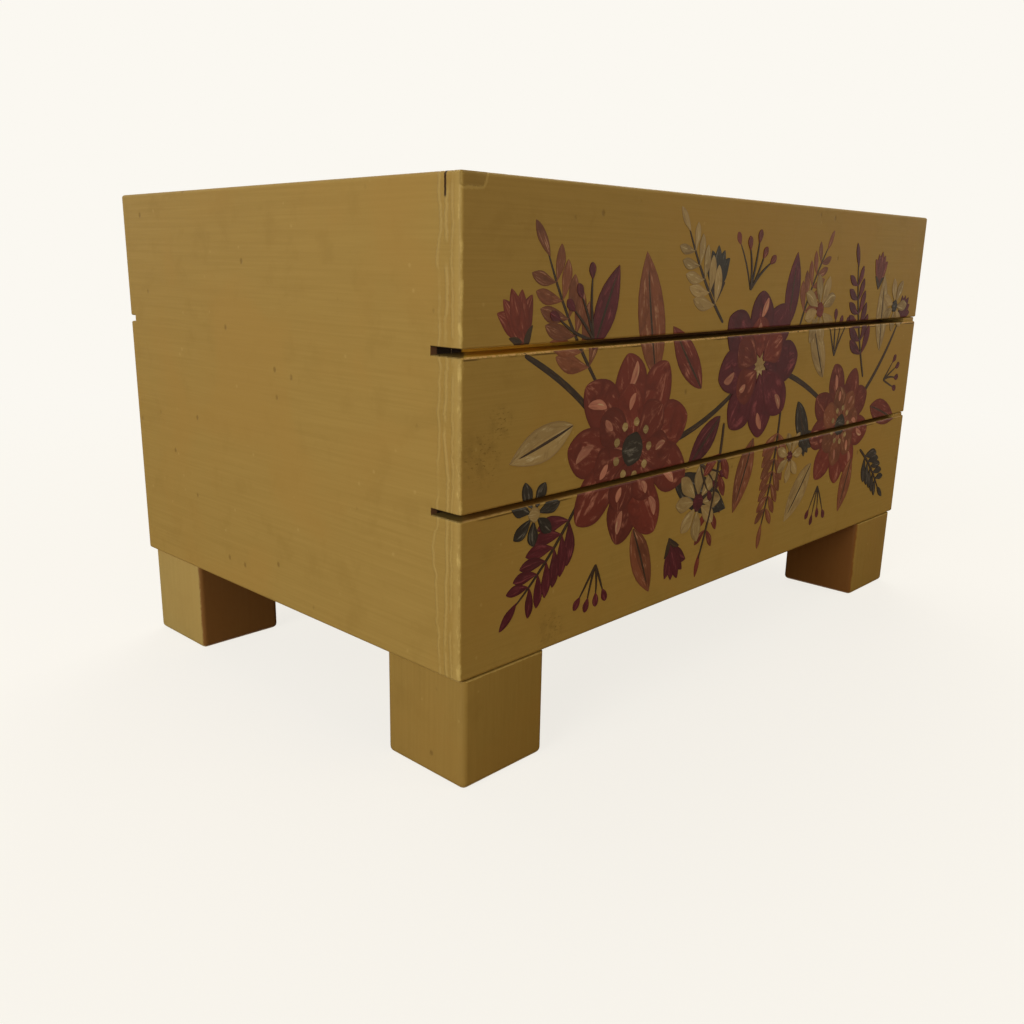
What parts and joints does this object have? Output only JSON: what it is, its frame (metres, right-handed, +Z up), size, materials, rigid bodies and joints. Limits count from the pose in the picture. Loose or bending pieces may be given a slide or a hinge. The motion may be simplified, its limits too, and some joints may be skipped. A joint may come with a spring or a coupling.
{
  "type": "paint drawer box",
  "caption": "Small painted wooden drawer box on block feet, with full-width drawers divided for watercolour pans, tubes and brushes.",
  "frame": {"origin": "on the floor, under the centre of the object's outer box", "axes": "+X along the drawer fronts, to the right of someone who faces them; +Y from the fronts to the back; +Z up"},
  "size_m": [0.215, 0.1362, 0.1264],
  "materials": {
    "painted_fronts": "ochre craft paint, satin, with a small painted flower spray",
    "painted_case": "ochre craft paint, satin, brushed",
    "painted_feet": "ochre craft paint, satin, worn at the arrises",
    "bare_wood": "bare sanded softwood",
    "bare_plywood": "bare sanded plywood",
    "screw_steel": "yellow-plated steel",
    "brad_steel": "bright wire"
  },
  "bodies": {
    "case": {"end_panel_left": "painted_case", "end_panel_right": "painted_case", "top_panel": "painted_case", "base_panel": "bare_plywood", "shelf_upper": "bare_plywood", "shelf_lower": "bare_plywood", "back_board_upper": "painted_case", "back_board_lower": "painted_case", "foot_screws": "screw_steel", "back_brads": "brad_steel", "foot_front_left": "painted_feet", "foot_front_right": "painted_feet", "foot_rear_left": "painted_feet", "foot_rear_right": "painted_feet"},
    "bottom_drawer": {"bottom_drawer_front": "painted_fronts", "bottom_drawer_inner_front": "bare_wood", "bottom_drawer_left_side": "bare_wood", "bottom_drawer_right_side": "bare_wood", "bottom_drawer_back": "bare_wood", "bottom_drawer_bottom": "bare_plywood", "bottom_drawer_front_screws": "screw_steel", "bottom_drawer_long_divider_1": "bare_wood"},
    "middle_drawer": {"middle_drawer_front": "painted_fronts", "middle_drawer_inner_front": "bare_wood", "middle_drawer_left_side": "bare_wood", "middle_drawer_right_side": "bare_wood", "middle_drawer_back": "bare_wood", "middle_drawer_bottom": "bare_plywood", "middle_drawer_front_screws": "screw_steel", "middle_drawer_cross_divider_1": "bare_wood", "middle_drawer_cross_divider_2": "bare_wood", "middle_drawer_cross_divider_3": "bare_wood"},
    "top_drawer": {"top_drawer_front": "painted_fronts", "top_drawer_inner_front": "bare_wood", "top_drawer_left_side": "bare_wood", "top_drawer_right_side": "bare_wood", "top_drawer_back": "bare_wood", "top_drawer_bottom": "bare_plywood", "top_drawer_front_screws": "screw_steel", "top_drawer_long_divider_1": "bare_wood", "top_drawer_cross_divider_1": "bare_wood", "top_drawer_cross_divider_2": "bare_wood", "top_drawer_cross_divider_3": "bare_wood", "top_drawer_cross_divider_4": "bare_wood", "top_drawer_cross_divider_5": "bare_wood"}
  },
  "joints": [
    {"name": "top_drawer_slide", "type": "slide", "parent": "case", "child": "top_drawer", "axis": [0, -1, 0], "range_m": [0, 0.095]},
    {"name": "middle_drawer_slide", "type": "slide", "parent": "case", "child": "middle_drawer", "axis": [0, -1, 0], "range_m": [0, 0.095]},
    {"name": "bottom_drawer_slide", "type": "slide", "parent": "case", "child": "bottom_drawer", "axis": [0, -1, 0], "range_m": [0, 0.095]}
  ]
}
